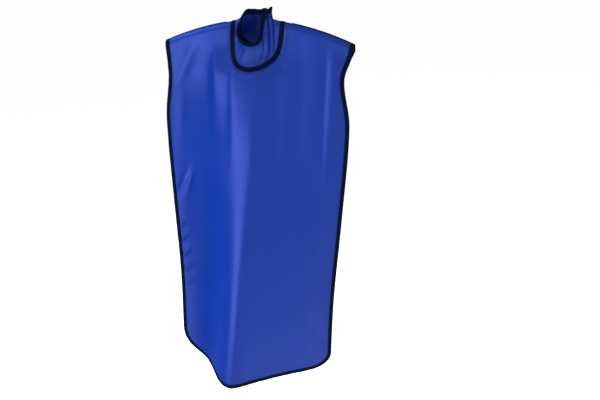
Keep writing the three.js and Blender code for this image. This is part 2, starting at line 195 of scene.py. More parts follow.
def fold_depth(x, level):
    depth = ridge_depth(x, level) + left_roll(x, level)
    for fold in FOLDS:
        grown = ease(fold["starts"], LENGTH, level)
        onset = ease(fold["starts"], fold["starts"] + fold["grows"], level)
        left_over = ease(fold["ends"], fold["ends"] - FADE, level)
        off = x - lerp(*fold["x"], grown)
        width = lerp(*(fold["left"] if off < 0 else fold["right"]), grown)
        depth += onset * left_over * lerp(*fold["depth"], grown) * math.exp(-((off / width) ** 2))
    return depth


print("ridge at the hem:", round(ridge_depth(RIDGE[-1]["x"], LENGTH)), "mm forward")

# %% Hang of the panel
def ridge_drop(x):
    """How far the shoulder ridge has dropped below the neck at x."""
    run = max(0.0, abs(x) - SHOULDER.neck_half)
    full_run = SHOULDER.half - SHOULDER.neck_half
    bend = (SHOULDER.drop - SHOULDER.slope_at_neck * full_run) / full_run**2
    return SHOULDER.slope_at_neck * run + bend * run**2


def hang(x, b):
    """Middle of the sheet at x across and b down from the shoulder ridge, in millimetres."""
    radius = SHOULDER.fold_radius
    drop = ridge_drop(x)
    run = b - drop * ease(QUARTER_ARC, LEVELLED, b)
    turn = min(max(run / radius, -math.pi / 2), math.pi / 2)
    below = max(0.0, abs(run) - QUARTER_ARC)
    folded = fold_depth(x, drop + run) * ease(0, FOLDS_BEGIN, run)
    forward = folded if run > 0 else -FLAP.stand_off * ease(0, FLAP.length, below)
    return Vector((x, -radius * math.sin(turn) - forward, -drop - radius * (1 - math.cos(turn)) - below))


print("hem middle hangs at", [round(v) for v in hang(0, LENGTH)], "mm")

# %% [markdown]
# ## The collar's form
# The collar is a strip that leaves the neckline along the cloth and bends up into a funnel, its ends
# lapped behind the right shoulder. A lathe would make it round, and this one is pulled out of round by
# its weight, so it follows eight sections on a closed curve.

# %% Sections of the collar
COLLAR = SimpleNamespace(girth=450, lap=32, end_corner=40, seam_turn=58, lap_step=7, back_radius=42,
                         lap_ramp=45, lap_level=3, longest_arm=0.55)
COLLAR_LENGTH = COLLAR.girth + COLLAR.lap
COLLAR_SECTIONS = table_of(
    "name base_x base_run top_x top_y top_z",
    ("right_shoulder", 70, 0, 10, -10, 14),
    ("right_back", 60, -68, 24, 20, 37),
    ("back", 0, -100, 0, 29, 29),
    ("left_back", -60, -72, -22, 26, 30),
    ("left_shoulder", -73, 0, -40, 8, 24),
    ("left_front", -66, 109, -53, -38, -27),
    ("front", -12, 135, -24, -62, -49),
    ("right_front", 55, 95, 6, -54, -42),
)


def collar_column(turn, column):
    """One column of the sections at a turn round the neck, on a closed smooth curve."""
    count = len(COLLAR_SECTIONS)
    place = (turn % 360) / 360 * count
    i = math.floor(place)
    s = place - i
    p, q, r, t = (COLLAR_SECTIONS[(i + k) % count][column] for k in (-1, 0, 1, 2))
    return q + 0.5 * s * (r - p + s * (2 * p - 5 * q + 4 * r - t + s * (3 * (q - r) + t - p)))


print("collar sections:", [row["name"] for row in COLLAR_SECTIONS])

# %% Foot and wall of the collar
def collar_base(turn):
    """Flat place of the lower edge on the panel, and the flat direction inwards from it."""
    def place(at):
        return Vector((collar_column(at, "base_x"), collar_column(at, "base_run")))

    run = (place(turn + 1) - place(turn - 1)).normalized()
    return place(turn), Vector((run.y, -run.x))


def neck_surface(x, b):
    if b >= 0:
        return hang(x, b)
    turn = -b / COLLAR.back_radius
    drop = ridge_drop(x) + COLLAR.back_radius * (1 - math.cos(turn))
    return Vector((x, COLLAR.back_radius * math.sin(turn), -drop))


@lru_cache(maxsize=None)
def collar_wall(turn):
    """Foot, bend, top and length of the upright section at a turn round the neck."""
    place, inward = collar_base(turn)
    foot = neck_surface(*place)
    leave = (neck_surface(*(place + inward)) - foot).normalized()
    top = Vector([collar_column(turn, column) for column in ("top_x", "top_y", "top_z")])
    chord = top - foot
    even = chord.length_squared / (2 * max(chord.dot(leave), 1))
    arm = min(even, COLLAR.longest_arm * chord.length)
    bend = foot + leave * arm
    return foot, bend, top, (2 * chord.length + arm + (top - bend).length) / 3


def collar_turn(a):
    return COLLAR.seam_turn + 360 * (a - COLLAR.lap / 2) / COLLAR.girth


def collar_height(a):
    return collar_wall(collar_turn(a))[3]


print("collar:", COLLAR_LENGTH, "mm long,",
      round(min(collar_height(a) for a in range(0, COLLAR_LENGTH, 10))), "to",
      round(max(collar_height(a) for a in range(0, COLLAR_LENGTH, 10))), "mm high")

# %% [markdown]
# ## Creases, puckers and the neck welt
# Close up, the cloth is not as smooth as its folds: the binding puckers it along the edges, a few sharp
# creases were pressed in by folding, and the neckline rolls up in a welt beside the collar's tape. A
# sculpt brush could draw these. Short tables keep them editable: each crease is one soft stroke on the
# cut.

# %% Creases
CREASES = table_of(
    "name x b length width lean depth",
    ("left_pull_high", -208, 100, 70, 17, 26, -4.2),
    ("left_pull_low", -232, 250, 120, 18, 4, -3.0),
    ("left_rim_lean", -292, 320, 230, 34, 0, -9.0),
    ("left_stroke", -239, 494, 50, 8, 24, 5.0),
    ("left_stroke_shade", -212, 480, 50, 10, 17, -5.0),
    ("left_tick_a", -250, 640, 22, 6, 35, -3.8),
    ("left_tick_b", -248, 690, 24, 6, 38, -4.2),
    ("left_tick_c", -243, 744, 28, 7, 40, -4.6),
    ("left_tick_d", -238, 796, 26, 6, 42, -4.2),
    ("left_tick_e", -235, 850, 24, 6, 38, -3.2),
    ("chest_dimple", 68, 122, 11, 5, -8, -1.1),
    ("right_soft_a", 120, 300, 190, 20, 3, -1.4),
    ("right_hem_pull", 205, 960, 110, 20, -30, -2.0),
)
STROKE_REACH = 3


def crease_relief(x, b):
    """Sum of the strokes at a flat place; lean turns a stroke's lower end to the left."""
    total = 0.0
    for crease in CREASES:
        lean = math.radians(crease["lean"])
        right, down = x - crease["x"], b - crease["b"]
        along = (down * math.cos(lean) - right * math.sin(lean)) / crease["length"]
        across = (right * math.cos(lean) + down * math.sin(lean)) / crease["width"]
        if abs(along) < STROKE_REACH and abs(across) < STROKE_REACH:
            total += crease["depth"] * math.exp(-along * along - across * across)
    return total


print("creases:", len(CREASES), "strokes on the panel")

# %% The neckline
NECK_SEAM = 0.8
NECK_ROOM = SimpleNamespace(half=115, low=190, above=30)
FRONT_TURNS = range(180, 361, 2)


def neck_line():
    """Flat places round the panel's neckline, carried up past the shoulder seam on both sides."""
    line = []
    for turn in FRONT_TURNS:
        place, inward = collar_base(turn)
        line.append(place - inward * NECK_SEAM)
    above = -QUARTER_ARC - NECK_ROOM.above
    return [Vector((line[0].x, above)), *line, Vector((line[-1].x, above))]


NECK_LINE = neck_line()


def nearest_on_neck(place):
    """Closest place on the neckline, and whether the given place is inside the neck."""
    best, inside = None, False
    for first, last in zip(NECK_LINE, NECK_LINE[1:]):
        run = last - first
        share = min(max((place - first).dot(run) / run.length_squared, 0.0), 1.0)
        near = first + run * share
        if best is None or (near - place).length_squared < (best - place).length_squared:
            best = near
    for first, last in zip(NECK_LINE, NECK_LINE[1:] + NECK_LINE[:1]):
        if (first.y > place.y) != (last.y > place.y):
            share = (place.y - first.y) / (last.y - first.y)
            inside ^= place.x < lerp(first.x, last.x, share)
    return best, inside


print("neckline:", len(NECK_LINE), "places")

# %% Welt, puckers and drift
WELT = SimpleNamespace(rise=2.6, at=7.0, width=2.6, tuck=1.3, tuck_width=2.4, starts=20, full=90)
PUCKER = SimpleNamespace(depth=1.1, reach=16, across=13, down=17, layer=3.0)
DRIFT = SimpleNamespace(depth=1.7, across=62, down=420, layer=7.0)
RIPPLE = SimpleNamespace(depth=0.45, across=24, down=150, layer=11.0)
RELIEF_FULL = 60


def welt_relief(x, b):
    if abs(x) > NECK_ROOM.half or b > NECK_ROOM.low:
        return 0.0
    near, inside = nearest_on_neck(Vector((x, b)))
    out = 0.0 if inside else (near - Vector((x, b))).length
    rise = WELT.rise * math.exp(-(((out - WELT.at) / WELT.width) ** 2)) * ease(WELT.starts, WELT.full, b)
    return rise - WELT.tuck * math.exp(-((out / WELT.tuck_width) ** 2))


def swell(wave, x, b):
    """Noise from -1 to 1 on the flat cut, stretched across and down; each wave has its own layer."""
    return noise.noise(Vector((x / wave.across, b / wave.down, wave.layer)))


def panel_relief(x, b):
    edge = max(min(x - side_left(b), side_right(b) - x, LENGTH - b), 0.0)
    fine = PUCKER.depth * swell(PUCKER, x, b) * math.exp(-edge / PUCKER.reach)
    broad = DRIFT.depth * swell(DRIFT, x, b) + RIPPLE.depth * swell(RIPPLE, x, b)
    drawn = crease_relief(x, b) + welt_relief(x, b)
    return (fine + broad + drawn) * ease(0, RELIEF_FULL, b)


def panel_cloth(x, b):
    return hang(x, b) - Vector((0, panel_relief(x, b), 0))


stroke = CREASES[3]
print("relief at", stroke["name"] + ":", round(panel_relief(stroke["x"], stroke["b"]), 2), "mm")

# %% [markdown]
# ## Laying cloth
# Every sheet starts as a flat grid. The grid is stretched to the cut, its flat place is kept as a UV
# map, so that the weave runs with the threads, and the hang then carries each point into space.
# Deleting faces with a boolean would leave slivers at the neck: here whole cells go, and the rim is
# pulled onto the neckline. Solidify gives the wall its thickness, and a small bevel rounds the cut
# edges.

# %% A piece and its wall
RIM_ROUND = 0.7
RIM_SEGMENTS = 2
RIM_ANGLE = 50


def mesh_data(name, mesh):
    data = bpy.data.meshes.new(name)
    mesh.to_mesh(data)
    mesh.free()
    return data


def add_object(name, data):
    made = bpy.data.objects.new(name, data)
    bpy.context.scene.collection.objects.link(made)
    return made


def add_piece(name, mesh, finish):
    data = mesh_data(name, mesh)
    data.materials.append(finish)
    piece = add_object(name, data)
    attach(piece, "root")
    return piece


def add_wall(piece, thick, rounding):
    """Thicken a sheet to both sides and, where rounding is given, take the edge off its rim."""
    wall = piece.modifiers.new("wall", "SOLIDIFY")
    wall.thickness = thick * MM
    wall.offset = 0
    wall.use_quality_normals = True
    if rounding:
        rim = piece.modifiers.new("rim", "BEVEL")
        rim.width = rounding * MM
        rim.segments = RIM_SEGMENTS
        rim.limit_method = "ANGLE"
        rim.angle_limit = math.radians(RIM_ANGLE)


def cloth_area(piece):
    return sum(face.area for face in piece.data.polygons)


print("cloth walls:", PANEL_WALL, "mm panel,", COLLAR_WALL, "mm collar")

# %% Wear, painted shade and the open neck
WORN_REACH = 22


def mark_wear_and_shade(mesh, flat, wear_and_shade, painted_shade):
    """Wear at each point, 1 at a cut edge and fading inwards, never below the painted shade of the whole
    piece.
    """
    rim = [vert for vert in mesh.verts if vert.is_boundary]
    tree = kdtree.KDTree(len(rim))
    for i, vert in enumerate(rim):
        tree.insert((*flat[vert], 0), i)
    tree.balance()
    for vert in mesh.verts:
        at_edge = math.exp(-tree.find((*flat[vert], 0))[2] / WORN_REACH)
        vert[wear_and_shade] = max(at_edge, painted_shade)


def open_neck(mesh, flat):
    """Take out the cells inside the neckline and pull the new rim onto it."""
    def in_room(place):
        return abs(place.x) < NECK_ROOM.half and place.y < NECK_ROOM.low

    def centre(face):
        return sum((flat[vert] for vert in face.verts), Vector((0, 0))) / len(face.verts)

    inside = [face for face in mesh.faces if in_room(centre(face)) and nearest_on_neck(centre(face))[1]]
    outer_rim = {vert for vert in mesh.verts if vert.is_boundary}
    bmesh.ops.delete(mesh, geom=inside, context="FACES")
    for vert in mesh.verts:
        if vert.is_boundary and vert not in outer_rim:
            flat[vert] = nearest_on_neck(flat[vert])[0]


print("wear fades", WORN_REACH, "mm in from a cut edge")

# %% Cloth from a grid
def map_flat(mesh, cut, flat):
    """Smooth faces, with the flat place of each corner in the UV map."""
    for face in mesh.faces:
        face.smooth = True
        for loop in face.loops:
            loop[cut].uv = flat[loop.vert] * MM


def lay_cloth(columns, rows, place, surface, neck=False, painted_shade=0.0):
    """A sheet from a grid: place gives each point on the flat cut, and surface carries it into space."""
    mesh = bmesh.new()
    cut = mesh.loops.layers.uv.new("cut")
    wear_and_shade = mesh.verts.layers.float.new("wear_and_shade")
    bmesh.ops.create_grid(mesh, x_segments=columns, y_segments=rows, size=0.5)
    flat = {vert: Vector(place(vert.co.x + 0.5, 0.5 - vert.co.y)) for vert in mesh.verts}
    if neck:
        open_neck(mesh, flat)
    # the mark holds edge wear, and on the collar painted shade over the whole piece
    mark_wear_and_shade(mesh, flat, wear_and_shade, painted_shade)
    for vert in mesh.verts:
        vert.co = surface(*flat[vert]) * MM
    map_flat(mesh, cut, flat)
    return mesh


print("cloth is laid from grids with a map of the flat cut")

# %% [markdown]
# ## Finishes as sums
# A finish is a small network of nodes. Writing the network as arithmetic keeps it readable: the class
# below wraps one socket, and adding or multiplying two of them puts the Math node in. Every other node
# comes from the node method, which sets its options first and then fills or links its sockets.

# %% A socket that can be added and multiplied
class Shade:
    """A socket in a finish. Sums with other sockets or numbers become Math nodes."""

    def __init__(self, tree, socket=None):
        self.tree = tree
        self.socket = socket

    def node(self, kind, settings=None, sockets=None, output=0):
        made = self.tree.nodes.new("ShaderNode" + kind)
        for key, value in (settings or {}).items():
            setattr(made, key, value)
        for key, value in (sockets or {}).items():
            if isinstance(value, Shade):
                self.tree.links.new(value.socket, made.inputs[key])
            else:
                made.inputs[key].default_value = value
        return Shade(self.tree, made.outputs[output] if len(made.outputs) else None)

    def out(self, name):
        return Shade(self.tree, self.socket.node.outputs[name])

    def math(self, operation, *values):
        return self.node("Math", {"operation": operation}, dict(enumerate(values)))

    def __add__(self, other):
        return self.math("ADD", self, other)

    def __sub__(self, other):
        return self.math("SUBTRACT", self, other)

    def __rsub__(self, other):
        return self.math("SUBTRACT", other, self)

    def __mul__(self, other):
        return self.math("MULTIPLY", self, other)

    __radd__ = __add__
    __rmul__ = __mul__

    def noise(self, where, scale, detail=2.0):
        return self.node("TexNoise", {}, {"Vector": where, "Scale": scale, "Detail": detail})

    def blend(self, share, first, second):
        return self.node("Mix", {"data_type": "RGBA"}, {0: share, 6: first, 7: second}, 2)

    def stretched(self, where, scale):
        return self.node("Mapping", {}, {"Vector": where, "Scale": scale})

    def ramp(self, value, start, end):
        """0 before start, 1 after end and a smooth step between them."""
        return self.node("MapRange", {"interpolation_type": "SMOOTHSTEP"},
                         {"Value": value, "From Min": start, "From Max": end})

    def relief(self, height, depth, strength=1.0):
        """Bump from a height of 0 to 1 that stands for depth millimetres."""
        return self.node("Bump", {}, {"Height": height, "Strength": strength, "Distance": depth * MM})


print("shade class ready:", [name for name in vars(Shade) if not name.startswith("__")])

# %% Start and end of a finish
def empty_network(owner):
    owner.use_nodes = True
    owner.node_tree.nodes.clear()
    return Shade(owner.node_tree)


def new_finish(name):
    material = bpy.data.materials.new(name)
    return material, empty_network(material)


def close_finish(shade, sockets):
    surface = shade.node("BsdfPrincipled", {}, sockets)
    shade.node("OutputMaterial", {}, {"Surface": surface})


print("a finish starts empty and ends in one principled surface")

# %% [markdown]
# ## Coated nylon
# The shell is royal blue nylon with a thin coat of polyurethane: a fine plain weave that is nearly
# closed by the coat, so it has a broad satin gloss and little texture. The weave is two sets of yarns
# that pass over each other in turn. Slow noise varies the colour and the gloss, and the cloth is duller
# where hands rub the rims. The whole collar gets that duller blue too, as painted shade.

# %% Finish of the cloth
YARN = 0.95
BLUE = (0.0045, 0.054, 0.520, 1)
DEEP_BLUE = (0.0040, 0.049, 0.475, 1)
# duller blue of rubbed edges, also painted over the whole collar as painted shade
WORN_AND_SHADED_BLUE = (0.0080, 0.038, 0.290, 1)
SATIN = 0.3
PATTERN = SimpleNamespace(clouds=9.0, streaks=(70.0, 5.0, 1.0), specks=900.0)
TONE = SimpleNamespace(clouds=0.9, streaks=0.5, less=0.35)
WEAR_AND_SHADE_MIX = SimpleNamespace(always=0.35, clouds=0.4)
GLOSS = SimpleNamespace(base=0.34, clouds=0.08, streaks=0.05, wear_and_shade=0.08, specks=0.03)
WEAVE = SimpleNamespace(yarns=0.8, specks=0.4, depth=0.06, strength=0.5)


def weave(shade, cut, yarn):
    """Height of a plain weave on the flat cut, with warp and weft on top in turn."""
    split = shade.node("SeparateXYZ", {}, {0: cut})
    turns = math.pi / (yarn * MM)
    warp = shade.math("SINE", split.out("X") * turns)
    weft = shade.math("SINE", split.out("Y") * turns)
    warp_on_top = shade.math("GREATER_THAN", warp * weft, 0.0)
    over = warp_on_top * shade.math("ABSOLUTE", warp)
    under = (1 - warp_on_top) * shade.math("ABSOLUTE", weft)
    return over + under


def cloth_finish():
    material, shade = new_finish("coated_nylon")
    cut = shade.node("UVMap", {"uv_map": "cut"})
    wear_and_shade = shade.node("Attribute", {"attribute_name": "wear_and_shade"}, {}, "Fac")
    cloudy = shade.noise(cut, PATTERN.clouds, 3.0)
    streaks = shade.noise(shade.stretched(cut, PATTERN.streaks), 1.0, 2.0)
    specks = shade.noise(cut, PATTERN.specks, 1.0)
    yarns = weave(shade, cut, YARN)
    tone = shade.blend(cloudy * TONE.clouds + streaks * TONE.streaks - TONE.less, DEEP_BLUE, BLUE)
    # mixes in the duller blue for edge wear and, on the collar, for painted shade
    colour = shade.blend(wear_and_shade * (WEAR_AND_SHADE_MIX.always + WEAR_AND_SHADE_MIX.clouds * cloudy), tone, WORN_AND_SHADED_BLUE)
    rough = GLOSS.base + GLOSS.clouds * cloudy + GLOSS.streaks * streaks + GLOSS.wear_and_shade * wear_and_shade
    rough = rough + GLOSS.specks * specks
    height = yarns * WEAVE.yarns + specks * WEAVE.specks
    close_finish(shade, {
        "Base Color": colour,
        "Roughness": rough,
        "Metallic": SATIN,
        "IOR": 1.5,
        "Normal": shade.relief(height, WEAVE.depth, WEAVE.strength),
    })
    return material


COATED_NYLON = cloth_finish()
print("finish:", COATED_NYLON.name, "with", len(COATED_NYLON.node_tree.nodes), "nodes")

# %% [markdown]
# ## Binding tape and thread
# The tape is polyester with a ribbed weave across it, dyed so dark that only a deep navy shows where
# light falls on it. The thread is a twisted polyester, black and a little glossier than the tape. The
# fastener's loops are matt and a little furry, so it gets a sheen and a deep, coarse relief.

# %% Finish of the tape
TAPE_BLACK = (0.0006, 0.0062, 0.0270, 1)
TAPE_WORN = (0.0012, 0.0110, 0.0470, 1)
RIB = 0.9
TAPE_PATTERN = SimpleNamespace(fuzz=1400.0, patches=30.0)
TAPE_TONE = SimpleNamespace(ribs=0.5, patches=0.4)
TAPE_GLOSS = SimpleNamespace(base=0.62, fuzz=0.2, specular=0.05)
TAPE_RELIEF = SimpleNamespace(fuzz=0.6, depth=0.12, strength=0.7)


def tape_finish():
    material, shade = new_finish("ribbed_tape")
    run = shade.node("UVMap", {"uv_map": "cut"})
    split = shade.node("SeparateXYZ", {}, {0: run})
    ribs = shade.math("ABSOLUTE", shade.math("SINE", split.out("Y") * (math.pi / (RIB * MM))))
    fuzz = shade.noise(run, TAPE_PATTERN.fuzz, 2.0)
    patches = shade.noise(run, TAPE_PATTERN.patches, 2.0)
    faded = TAPE_TONE.ribs * ribs * patches + TAPE_TONE.patches * patches
    height = ribs + fuzz * TAPE_RELIEF.fuzz
    close_finish(shade, {
        "Base Color": shade.blend(faded, TAPE_BLACK, TAPE_WORN),
        "Roughness": TAPE_GLOSS.base + TAPE_GLOSS.fuzz * fuzz,
        "Specular IOR Level": TAPE_GLOSS.specular,
        "Normal": shade.relief(height, TAPE_RELIEF.depth, TAPE_RELIEF.strength),
    })
    return material


BLACK_TAPE = tape_finish()
print("finish:", BLACK_TAPE.name)

# %% Finishes of the thread and the fastener
THREAD = SimpleNamespace(colour=(0.0040, 0.0060, 0.0110, 1), scale=2600.0, detail=1.0, rough=0.42,
                         varied=0.2, sheen=0.0, depth=0.1, strength=0.6)
LOOPS = SimpleNamespace(colour=(0.0120, 0.0140, 0.0190, 1), scale=1500.0, detail=3.0, rough=0.85,
                        varied=0.1, sheen=0.3, depth=0.5, strength=0.9)


def fibre_finish(name, fibre):
    material, shade = new_finish(name)
    where = shade.node("TexCoord", {}, {}, "Object")
    strands = shade.noise(where, fibre.scale, fibre.detail)
    close_finish(shade, {
        "Base Color": shade.blend(strands, fibre.colour, TAPE_WORN),
        "Roughness": fibre.rough + fibre.varied * strands,
        "Sheen Weight": fibre.sheen,
        "Normal": shade.relief(strands, fibre.depth, fibre.strength),
    })
    return material


BLACK_THREAD = fibre_finish("black_thread", THREAD)
FASTENER = fibre_finish("hook_and_loop", LOOPS)
print("finishes:", BLACK_THREAD.name, "and", FASTENER.name)

# %% [markdown]
# ## The front panel
# The panel is cut in one piece: over the shoulders to a seam behind them, and down to a hem with round
# corners. Its columns follow the hem, closer together in the corners, and its rows follow the level.

# %% Front panel
PANEL_GRID = SimpleNamespace(columns=120, rows=250, corner_share=0.14, ridge_share=0.06)


def rounded_end(u, left, right, end, up, radii, corner_share):
    """Flat place on a lower edge with round corners; up is the way back to the sides."""
    if corner_share <= u <= 1 - corner_share:
        share = (u - corner_share) / (1 - 2 * corner_share)
        return lerp(left + radii[0], right - radii[1], share), end
    on_left = u < 0.5
    radius = radii[0] if on_left else radii[1]
    angle = (u if on_left else 1 - u) / corner_share * math.pi / 2
    along = radius * (1 - math.cos(angle))
    return left + along if on_left else right - along, end + up * radius * (1 - math.sin(angle))


def panel_place(u, v):
    left, right = side_left(LENGTH), side_right(LENGTH)
    radii = (HEM_CORNER.left, HEM_CORNER.right)
    x, end = rounded_end(u, left, right, LENGTH, -1, radii, PANEL_GRID.corner_share)
    share = (x - left) / (right - left)
    if v < PANEL_GRID.ridge_share:
        b = lerp(-QUARTER_ARC, QUARTER_ARC, v / PANEL_GRID.ridge_share)
    else:
        b = lerp(QUARTER_ARC, end, (v - PANEL_GRID.ridge_share) / (1 - PANEL_GRID.ridge_share))
    return lerp(side_left(b), side_right(b), share), b


panel = add_piece(
    "panel_cloth",
    lay_cloth(PANEL_GRID.columns, PANEL_GRID.rows, panel_place, panel_cloth, neck=True),
    COATED_NYLON,
)
add_wall(panel, PANEL_WALL, RIM_ROUND)
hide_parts("front_panel")
panel_area = cloth_area(panel)
print("panel:", len(panel.data.polygons), "cells,", round(panel_area, 3), "m2 of cloth")

# %% [markdown]
# ## The shoulder flaps
# Two short flaps are sewn on behind the shoulder ridge. They hang down the back and keep the apron from
# sliding forward. One function lays both: the right one is the left one mirrored on the flat cut.

# %% Shoulder flaps
FLAP_GRID = SimpleNamespace(columns=44, rows=44, corner_share=0.26)
FLAP_WAVE = SimpleNamespace(depth=1.6, across=48, down=90, layer=5.0, full=120)


def flap_place(u, v, side):
    start = -QUARTER_ARC - FLAP.seam_gap
    outer = SHOULDER.half - FLAP.taper
    radii = (FLAP.corner, FLAP.corner)
    x, end = rounded_end(u, FLAP.inner_edge, outer, start - FLAP.length, 1, radii, FLAP_GRID.corner_share)
    top = lerp(FLAP.inner_edge, SHOULDER.half, (x - FLAP.inner_edge) / (outer - FLAP.inner_edge))
    return side * lerp(top, x, v), lerp(start, end, v)


def flap_cloth(x, b):
    wave = FLAP_WAVE.depth * swell(FLAP_WAVE, x, b) * ease(QUARTER_ARC, FLAP_WAVE.full, -b)
    return hang(x, b) + Vector((0, wave, 0))


flaps = {}
for hand, side in HANDS.items():
    mesh = lay_cloth(FLAP_GRID.columns, FLAP_GRID.rows, lambda u, v: flap_place(u, v, side), flap_cloth)
    flap = add_piece(f"flap_cloth_{hand}", mesh, COATED_NYLON)
    add_wall(flap, PANEL_WALL, RIM_ROUND)
    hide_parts(f"shoulder_flap_{hand}")
    flaps[side] = flap
flap_area = cloth_area(flaps[1])
print("flaps:", round(flap_area, 4), "m2 each")

# %% [markdown]
# ## The collar
# The collar is softer than the panel. Its front stays smooth, and its right side, where the two ends
# pull against each other, is drawn into upright creases. The last stretch steps out over the first, so
# the ends lap.

# %% Creases of the collar
COLLAR_CREASES = table_of(
    "name turn width depth lean",
    ("right_a", 308, 5.0, -3.4, 80),
    ("right_b", 319, 5.0, 2.6, 100),
    ("right_c", 332, 5.5, -4.2, 108),
    ("right_d", 344, 5.0, 2.8, 110),
    ("right_e", 356, 5.0, -3.6, 110),
    ("back_a", 70, 4.0, -1.5, 10),
    ("back_b", 86, 4.0, 1.5, 4),
    ("back_c", 102, 4.5, -1.4, -6),
    ("left_a", 196, 5.0, -2.0, 5),
)
COLLAR_WAVE = SimpleNamespace(depth=0.9, across=34, down=0.4, layer=9.0)
CREASE_SPAN = SimpleNamespace(foot=0.05, full=0.3, fades=0.8, top=1.0)


def collar_relief(a, rise):
    """Relief of the collar wall, from its foot at rise 0 to its top at rise 1."""
    turn = collar_turn(a) % 360
    total = COLLAR_WAVE.depth * swell(COLLAR_WAVE, a, rise)
    for crease in COLLAR_CREASES:
        off = (turn - crease["turn"] - crease["lean"] * (rise - 0.5) + 180) % 360 - 180
        total += crease["depth"] * math.exp(-((off / crease["width"]) ** 2))
    ends = ease(CREASE_SPAN.foot, CREASE_SPAN.full, rise) * ease(CREASE_SPAN.top, CREASE_SPAN.fades, rise)
    return total * ends


print("collar creases:", len(COLLAR_CREASES))

# %% Sheet of the collar
NORMAL_STEP = 0.5


def collar_curve(a, b):
    foot, bend, top, length = collar_wall(collar_turn(a))
    rise = 1 - b / length
    return foot.lerp(bend, rise).lerp(bend.lerp(top, rise), rise)


def normal_of(surface, a, b):
    across = surface(a + NORMAL_STEP, b) - surface(a - NORMAL_STEP, b)
    down = surface(a, b + NORMAL_STEP) - surface(a, b - NORMAL_STEP)
    return down.cross(across).normalized()


def lifted(surface, a, b, off):
    return surface(a, b) + normal_of(surface, a, b) * off


def collar_sheet(a, b):
    ramp = ease(COLLAR.girth - COLLAR.lap_ramp, COLLAR.girth - COLLAR.lap_level, a)
    return lifted(collar_curve, a, b, COLLAR.lap_step * ramp + collar_relief(a, 1 - b / collar_height(a)))


print("front of the collar's top at", [round(v) for v in collar_sheet(COLLAR_LENGTH / 2, 0)], "mm")

# %% Collar
COLLAR_GRID = SimpleNamespace(columns=190, rows=44, corner_share=0.07)
# painted shade: the whole collar is darkened towards the duller rubbed blue
COLLAR_PAINTED_SHADE = 0.9


def collar_top(u):
    """Place along the collar and how far its top edge drops there, with round ends."""
    radii = (COLLAR.end_corner, COLLAR.end_corner)
    return rounded_end(u, 0, COLLAR_LENGTH, 0, 1, radii, COLLAR_GRID.corner_share)


def collar_place(u, v):
    a, top = collar_top(u)
    return a, lerp(top, collar_height(a), v)


collar = add_piece(
    "collar_cloth",
    lay_cloth(COLLAR_GRID.columns, COLLAR_GRID.rows, collar_place, collar_sheet, painted_shade=COLLAR_PAINTED_SHADE),
    COATED_NYLON,
)
add_wall(collar, COLLAR_WALL, RIM_ROUND)
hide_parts("collar")
collar_area = cloth_area(collar)
print("collar:", len(collar.data.polygons), "cells,", round(collar_area, 4), "m2 of cloth")

# %% [markdown]
# ## Binding
# Bias tape is folded over the cut edge and sewn through. A curve with a bevel profile could carry it,
# but a curve twists where the edge turns in space. Here a grid is laid instead: its short way runs
# round the fold, its long way along the edge, and each point stands off the cloth by the cloth's own
# normal.

# %% Section of the folded tape
TAPE = SimpleNamespace(thick=0.9, stop=5.0, point=1.2)
TAPE_FOLD = SimpleNamespace(inner=0.5, outer=1.6, rise=1.0, steps=10)
TAPE_FACE = table_of(
    "name reach rise",
    ("selvedge", 11.0, 0.55),
    ("outside_stitch", 9.9, 0.85),
    ("stitch_line", 8.6, 0.62),
    ("inside_stitch", 7.2, 0.92),
    ("crown", 4.0, 1.12),
    ("fold", 1.6, 1.06),
)


def folded_section(wall):
    """Section of the folded tape: reach in from the edge and offset from the wall's middle."""
    half = wall / 2
    front = [(row["reach"], half + row["rise"]) for row in TAPE_FACE]
    turn = []
    for i in range(TAPE_FOLD.steps + 1):
        angle = math.pi * i / TAPE_FOLD.steps
        reach = TAPE_FOLD.inner - TAPE_FOLD.outer * math.sin(angle)
        turn.append((reach, (half + TAPE_FOLD.rise) * math.cos(angle)))
    return front + turn + [(reach, -off) for reach, off in reversed(front)]


PANEL_SECTION = folded_section(PANEL_WALL)
COLLAR_SECTION = folded_section(COLLAR_WALL)
print("tape section:", len(PANEL_SECTION), "points,", TAPE.thick, "mm thick")

# %% Stops along an edge
def running_lengths(line):
    """Length along a line up to each of its places."""
    lengths = [0.0]
    for first, last in zip(line, line[1:]):
        lengths.append(lengths[-1] + (last - first).length)
    return lengths


def inward_at(line, i):
    """Flat direction into the cloth at one stop; at the ends of a line it is squared up."""
    run = (line[min(i + 1, len(line) - 1)] - line[max(i - 1, 0)]).normalized()
    inward = Vector((run.y, -run.x))
    at_end = i in (0, len(line) - 1)
    return Vector((round(inward.x), round(inward.y))) if at_end else inward


def even_stops(places, spacing):
    """Stops at even steps along a line of flat places, each with the flat direction inwards."""
    lengths = running_lengths(places)
    count = max(2, round(lengths[-1] / spacing))
    line, k = [], 0
    for i in range(count + 1):
        at = lengths[-1] * i / count
        while k < len(places) - 2 and lengths[k + 1] < at:
            k += 1
        share = (at - lengths[k]) / (lengths[k + 1] - lengths[k])
        line.append(places[k].lerp(places[k + 1], share))
    return [(place, inward_at(line, i)) for i, place in enumerate(line)]


print("stops every", TAPE.stop, "mm along an edge")

